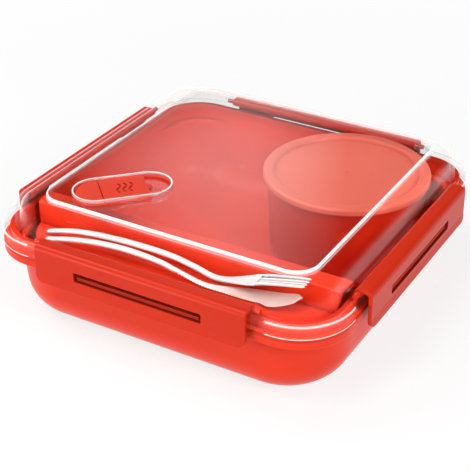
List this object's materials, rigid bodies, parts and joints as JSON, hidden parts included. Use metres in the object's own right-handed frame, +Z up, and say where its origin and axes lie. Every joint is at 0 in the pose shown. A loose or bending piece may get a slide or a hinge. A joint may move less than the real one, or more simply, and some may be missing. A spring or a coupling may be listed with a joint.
{
  "type": "lunch box",
  "caption": "Square lunch box: drafted tub, clear domed lid with hinged snap clips and a flip-up steam vent, round lidded pot, cutlery tray, fork and knife inside.",
  "frame": {"origin": "middle of the tub's flat bottom", "axes": "+Z up through the lid, -Y towards the front with the cutlery, +X to the right"},
  "size_m": [0.2158, 0.2158, 0.0714],
  "materials": {
    "red_plastic": "satin moulded",
    "clip_plastic": "gloss moulded",
    "clear_plastic": "polished clear",
    "pot_lid_plastic": "soft satin",
    "white_plastic": "gloss moulded",
    "silicone": "matte",
    "red_rubber": "satin"
  },
  "bodies": {
    "base": {"tub": "red_plastic", "cutlery_tray": "red_plastic", "sauce_pot": "red_plastic", "fork": "white_plastic", "knife": "white_plastic"},
    "pot_cover": {"pot_lid": "pot_lid_plastic"},
    "cover": {"lid": "clear_plastic", "seal_ring": "silicone", "vent_anchor": "red_rubber"},
    "flap": {"vent_flap": "red_rubber"},
    "front_clip": {"clip_front": "clip_plastic"},
    "right_clip": {"clip_right": "clip_plastic"},
    "back_clip": {"clip_back": "clip_plastic"},
    "left_clip": {"clip_left": "clip_plastic"}
  },
  "joints": [
    {"name": "lid_lift", "type": "slide", "parent": "base", "child": "cover", "axis": [0, 0, 1], "range_m": [0, 0.15]},
    {"name": "pot_lid_lift", "type": "slide", "parent": "base", "child": "pot_cover", "axis": [0, 0, 1], "range_m": [0, 0.0035]},
    {"name": "front_clip_hinge", "type": "hinge", "parent": "cover", "child": "front_clip", "pos_m": [0, -0.0996, 0.055], "axis": [-1, 0, 0], "range_deg": [0, 120]},
    {"name": "right_clip_hinge", "type": "hinge", "parent": "cover", "child": "right_clip", "pos_m": [0.0996, 0, 0.055], "axis": [0, -1, 0], "range_deg": [0, 120]},
    {"name": "back_clip_hinge", "type": "hinge", "parent": "cover", "child": "back_clip", "pos_m": [0, 0.0996, 0.055], "axis": [1, 0, 0], "range_deg": [0, 120]},
    {"name": "left_clip_hinge", "type": "hinge", "parent": "cover", "child": "left_clip", "pos_m": [-0.0996, 0, 0.055], "axis": [0, 1, 0], "range_deg": [0, 120]},
    {"name": "vent_flap_hinge", "type": "hinge", "parent": "cover", "child": "flap", "pos_m": [-0.05134, -0.06134, 0.0704], "axis": [0.7071, -0.7071, 0], "range_deg": [0, 100]}
  ]
}
